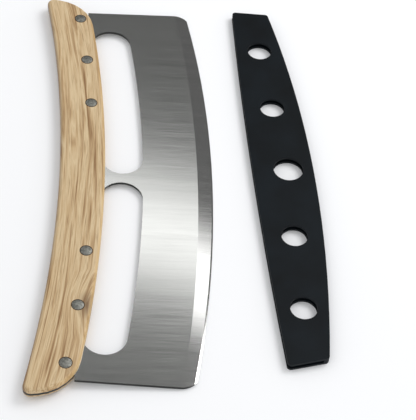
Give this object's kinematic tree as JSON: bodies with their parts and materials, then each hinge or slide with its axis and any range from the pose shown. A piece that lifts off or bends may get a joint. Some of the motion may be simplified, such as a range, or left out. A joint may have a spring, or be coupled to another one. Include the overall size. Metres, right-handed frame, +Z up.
{
  "type": "rocking pizza knife",
  "caption": "Long curved rocking knife for pizza, with a riveted wooden handle along its back, finger slots in the steel, and a moulded cover for its edge lying beside it.",
  "frame": {"origin": "middle of the cutting edge, where it touches the table that the knife lies on", "axes": "+X from the handle past the cutting edge to the cover, +Y along the knife, +Z up from the table"},
  "size_m": [0.1947, 0.356, 0.011],
  "materials": {
    "blade_steel": "stainless sheet, brushed across the blade, ground edge",
    "olive_wood": "oiled, fine streaked grain along the handle",
    "rivet_steel": "polished domed heads",
    "cover_plastic": "fine satin moulding"
  },
  "bodies": {
    "knife": {"blade": "blade_steel", "upper_scale": "olive_wood", "lower_scale": "olive_wood", "rivet_sleeve_1": "rivet_steel", "rivet_sleeve_2": "rivet_steel", "rivet_sleeve_3": "rivet_steel", "rivet_sleeve_4": "rivet_steel", "rivet_sleeve_5": "rivet_steel", "rivet_sleeve_6": "rivet_steel", "rivet_pin_1": "rivet_steel", "rivet_pin_2": "rivet_steel", "rivet_pin_3": "rivet_steel", "rivet_pin_4": "rivet_steel", "rivet_pin_5": "rivet_steel", "rivet_pin_6": "rivet_steel"},
    "cover": {"blade_cover": "cover_plastic"}
  },
  "joints": [
    {"name": "cover_slide", "type": "slide", "parent": "knife", "child": "cover", "axis": [0.9978, 0.0663, 0], "range_m": [-0.022, 0.05]}
  ]
}
